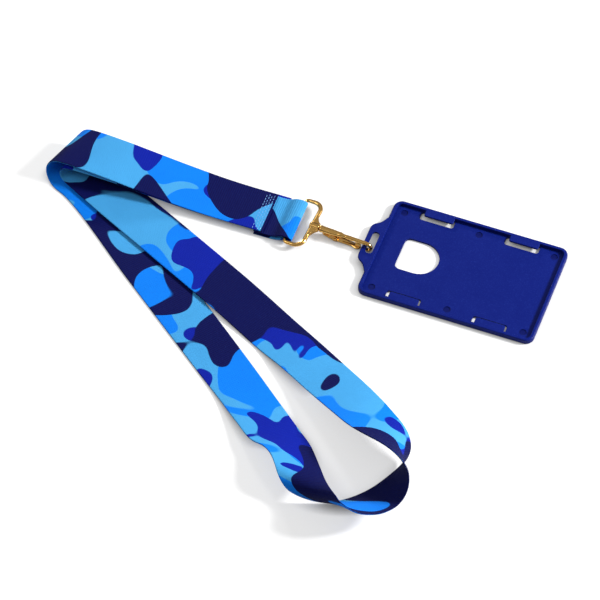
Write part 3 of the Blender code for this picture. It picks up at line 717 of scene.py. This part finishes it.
def ring_path():
    """(s, n) round the ring: a rectangle with tight corners at the crossbar and wide ones at the front."""
    s0, s1, half = -EYE_DEPTH, -EYE_FRONT, EYE_HALF
    steps = 16
    corners = rounded([(s0, -half), (s1, -half), (s1, half), (s0, half)], [2.0, 4.6, 4.6, 2.0], steps)
    south, north = corners[: 2 * (steps + 1)], corners[2 * (steps + 1) :]
    front = [(s1, n) for n in (-6, -3, 0, 3, 6)]
    return south + front + north + [(s0, n) for n in (9, 6, 3, 0, -3, -6, -9)]


def strap_eye(mat):
    """Ring round the webbing, thicker at the front, with a waisted web and a boss for the hook's shank."""
    path = ring_path()
    bm = bmesh.new()
    rings = []
    for i, (s, n) in enumerate(path):
        before, after = path[i - 1], path[(i + 1) % len(path)]
        ds, dn = after[0] - before[0], after[1] - before[1]
        k = math.hypot(ds, dn)
        us, un = dn / k, -ds / k
        share = min(1, (s + EYE_DEPTH) / 6)
        wide = EYE_WIRE + (EYE_BAR - EYE_WIRE) * share
        thick = EYE_WIRE + (EYE_BAR_T - EYE_WIRE) * share
        us, un = us * wide, un * wide
        rings.append([axis_point(s + us * a, n + un * a, thick * b) for a, b in circle(1, 24)])
    loft(bm, rings, closed=True)
    side = [(-EYE_FRONT, 7.4), (0.3, 5.6), (0.9, 4.4), (1.5, 3.3), (2.3, 2.4), (3.0, 1.9)]
    web = [(s, -n) for s, n in side] + side[::-1]
    loft(bm, [[axis_point(s, n, up) for s, n in web] for up in (-1.05, 1.05)])
    ends = (BOSS_S0, BOSS_R - 0.3), (BOSS_S1, BOSS_R - 0.2)
    turned(bm, [ends[0], (BOSS_S0 + 0.3, BOSS_R), (BOSS_S1 - 0.3, BOSS_R), ends[1]])
    eye = finish_bmesh("ring_eye", bm, mat)
    fuse(eye, 12)
    cut(eye, cutter(turned, [(-DRILL, SHANK_HOLE_R), (DRILL, SHANK_HOLE_R)]))
    cut(eye, cutter(turned, [(-DRILL, HEAD_POCKET_R), (HEAD_POCKET_S, HEAD_POCKET_R)]))
    eye.data.set_sharp_from_angle(angle=math.radians(CAST_SHARP))
    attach(eye, "eye")
    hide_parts("strap_eye")


def hook_bar():
    """(s, z, half width, half depth) along the stem, the top bar, the bend and the tip that comes back."""
    stem = [(3.45, 4.44, 1.6, 1.4), (3.75, 4.46, 1.85, 1.6), (5.0, 4.5, 1.85, 1.55), (8.0, 4.66, 1.8, 1.4)]
    stem += [(10.5, 4.85, 1.75, 1.25), (13.0, 5.0, 1.5, 1.15), (15.6, 5.1, 1.3, 1.12)]
    stem.append((16.1, 5.12, 1.08, BAR_HALF))
    top_z = BEND_Z + BEND_INNER + BAR_HALF
    bars = [(s, top_z, 1.08, BAR_HALF) for s in (18.5, 22.5, 26.5)]
    bend = []
    for deg in range(90, -91, -20):
        t = math.radians(deg)
        share = (deg + 90) / 180
        depth = TIP_HALF + (BAR_HALF - TIP_HALF) * share
        r = BEND_INNER + depth
        bend.append((BEND_S + r * math.cos(t), BEND_Z + r * math.sin(t), 1.0 + 0.08 * share, depth))
    low_z = BEND_Z - BEND_INNER - TIP_HALF
    tip = [(27.3, low_z, 0.95, TIP_HALF - 0.02), (26.75, low_z, 0.85, TIP_HALF - 0.1)]
    return stem + bars + bend + tip


def hook_body(mat):
    """Casting: peened shank, tapering stem, the gate's lug, top bar and the bend back under the tab."""
    bm = bmesh.new()
    bar(bm, hook_bar())
    under = np.linspace(math.pi, 2 * math.pi, 17)
    low = [(PIN_S + LUG_R * math.cos(t), PIN_Z + LUG_R * math.sin(t)) for t in under]
    plate(bm, low + [(PIN_S + LUG_R, 4.6), (PIN_S - LUG_R, 4.6)], -LUG_HALF, LUG_HALF)
    head = [(HEAD_S - 0.4, HEAD_R - 0.3), (HEAD_S - 0.25, HEAD_R), (HEAD_S - 0.01, HEAD_R)]
    turned(bm, head + [(HEAD_S, SHANK_R), (4.6, SHANK_R)])
    body = finish_bmesh("hook_casting", bm, mat)
    fuse(body, 4)
    cut(body, cutter(disc, PIN_S, PIN_Z, -DRILL, DRILL, PIN_HOLE_R))
    body.data.set_sharp_from_angle(angle=math.radians(CAST_SHARP))
    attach(body, "hook")
    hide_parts("hook_body")


def gate(mat):
    """The sprung lower bar, with an ear each side of the hook's lug."""
    path = [(5.0, 1.75, 0.75, 0.45), (5.5, 1.68, 0.95, 0.58), (8.0, 1.15, 1.3, 0.62)]
    path += [(10.5, 0.78, 1.45, 0.62), (13.5, 0.7, 1.45, 0.6), (16.5, 0.68, 1.4, 0.6)]
    path += [(21.0, 0.67, 1.35, 0.6), (25.5, 0.66, 1.2, 0.58), (25.8, 0.66, 0.8, 0.5)]
    over = np.linspace(0, math.pi, 17)
    top = [(PIN_S + EAR_R * math.cos(t), PIN_Z + EAR_R * math.sin(t)) for t in over]
    outline = top + [(PIN_S - EAR_R, 0.55), (PIN_S - 0.9, 0.25), (PIN_S + 0.9, 0.25), (PIN_S + EAR_R, 0.55)]
    bm = bmesh.new()
    bar(bm, path)
    plate(bm, outline, -EAR_OUT, EAR_OUT)
    body = finish_bmesh("sprung_gate", bm, mat)
    fuse(body, 2)
    low = PIN_Z - LUG_R - 0.15
    room = [(PIN_S - 4, low), (PIN_S + 4, low), (PIN_S + 4, 8), (PIN_S - 4, 8)]
    cut(body, cutter(plate, room, -EAR_IN, EAR_IN))
    cut(body, cutter(disc, PIN_S, PIN_Z, -DRILL, DRILL, PIN_HOLE_R))
    body.data.set_sharp_from_angle(angle=math.radians(CAST_SHARP))
    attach(body, "gate")
    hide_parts("gate")


# ---------------------------------------------------------------- holder and small parts
def repaint(node, mat, bevel=0.0):
    """Gives a CAD node its finish, and softens its edges without changing its shape."""
    obj = frame["nodes"][node]
    obj.data.materials.clear()
    obj.data.materials.append(mat)
    obj.data.shade_smooth()
    obj.data.set_sharp_from_angle(angle=math.radians(SHARP))
    if bevel:
        mod = obj.modifiers.new("edges", "BEVEL")
        mod.width = bevel * MM
        mod.segments = 3
        mod.limit_method = "ANGLE"
        mod.angle_limit = math.radians(SHARP)
        mod.harden_normals = True


# ---------------------------------------------------------------- studio
def floor():
    mesh = bpy.data.meshes.new("floor")
    corners = [(x * FLOOR_HALF, y * FLOOR_HALF, 0) for x, y in ((-1, -1), (1, -1), (1, 1), (-1, 1))]
    mesh.from_pydata(corners, [], [(0, 1, 2, 3)])
    obj = new_object("floor", mesh, floor_material())
    return obj


def camera():
    """Looks at AIM from the distance, round from -Y by the azimuth and up by the elevation."""
    a, e = math.radians(AZIMUTH), math.radians(ELEVATION)
    back = Vector((math.sin(a) * math.cos(e), -math.cos(a) * math.cos(e), math.sin(e)))
    data = bpy.data.cameras.new("camera")
    data.lens = LENS
    data.sensor_width = SENSOR
    data.clip_start, data.clip_end = 0.05, 20
    obj = bpy.data.objects.new("camera", data)
    bpy.context.scene.collection.objects.link(obj)
    obj.location = place(AIM) + back * DISTANCE
    obj.rotation_euler = (-back).to_track_quat("-Z", "Y").to_euler()
    bpy.context.scene.camera = obj


def light(name, where, size, power):
    data = bpy.data.lights.new(name, "AREA")
    data.shape = "DISK"
    data.size = size
    data.energy = power
    obj = bpy.data.objects.new(name, data)
    bpy.context.scene.collection.objects.link(obj)
    obj.location = place(where)
    obj.rotation_euler = (obj.location - place(LIGHT_AIM)).to_track_quat("Z", "Y").to_euler()


def world():
    """White overhead and grey towards the horizon, so that the metal has something dark to reflect."""
    data = bpy.data.worlds.new("studio")
    bpy.context.scene.world = data
    data.use_nodes = True
    tree = data.node_tree
    coords = tree.nodes.new("ShaderNodeTexCoord")
    axes = tree.nodes.new("ShaderNodeSeparateXYZ")
    ramp = tree.nodes.new("ShaderNodeValToRGB")
    path = tree.nodes.new("ShaderNodeLightPath")
    mix = tree.nodes.new("ShaderNodeMix")
    mix.data_type = "RGBA"
    tree.links.new(coords.outputs["Generated"], axes.inputs[0])
    tree.links.new(axes.outputs[2], ramp.inputs[0])
    ramp.color_ramp.elements[0].position = 0.15
    ramp.color_ramp.elements[0].color = (0.06, 0.055, 0.05, 1)
    ramp.color_ramp.elements[1].position = 0.75
    ramp.color_ramp.elements[1].color = (0.38, 0.38, 0.38, 1)
    tree.links.new(path.outputs["Is Camera Ray"], mix.inputs[0])
    tree.links.new(ramp.outputs[0], mix.inputs[6])
    mix.inputs[7].default_value = (1, 1, 1, 1)
    tree.links.new(mix.outputs[2], tree.nodes["Background"].inputs[0])
    tree.nodes["Background"].inputs[1].default_value = 1.0


def main():
    camera()
    world()
    for lamp in LIGHTS:
        light(*lamp)
    bpy.context.scene.view_settings.view_transform = "Standard"
    ground = floor()
    cloth, gold = webbing_material(), gold_material()
    strap = strap_pieces(cloth)
    stitches(strap, thread_material())
    strap_eye(gold)
    hook_body(gold)
    gate(gold)
    repaint("gate_pin", gold)
    repaint("gate_spring", steel_material())
    repaint("card_holder", plastic_material(), HOLDER_BEVEL)


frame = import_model()
pin_low, pin_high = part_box("gate_pin")
HOME = (pin_low + pin_high) / 2 - hook_point(PIN_S, 0, PIN_Z) * MM
main()
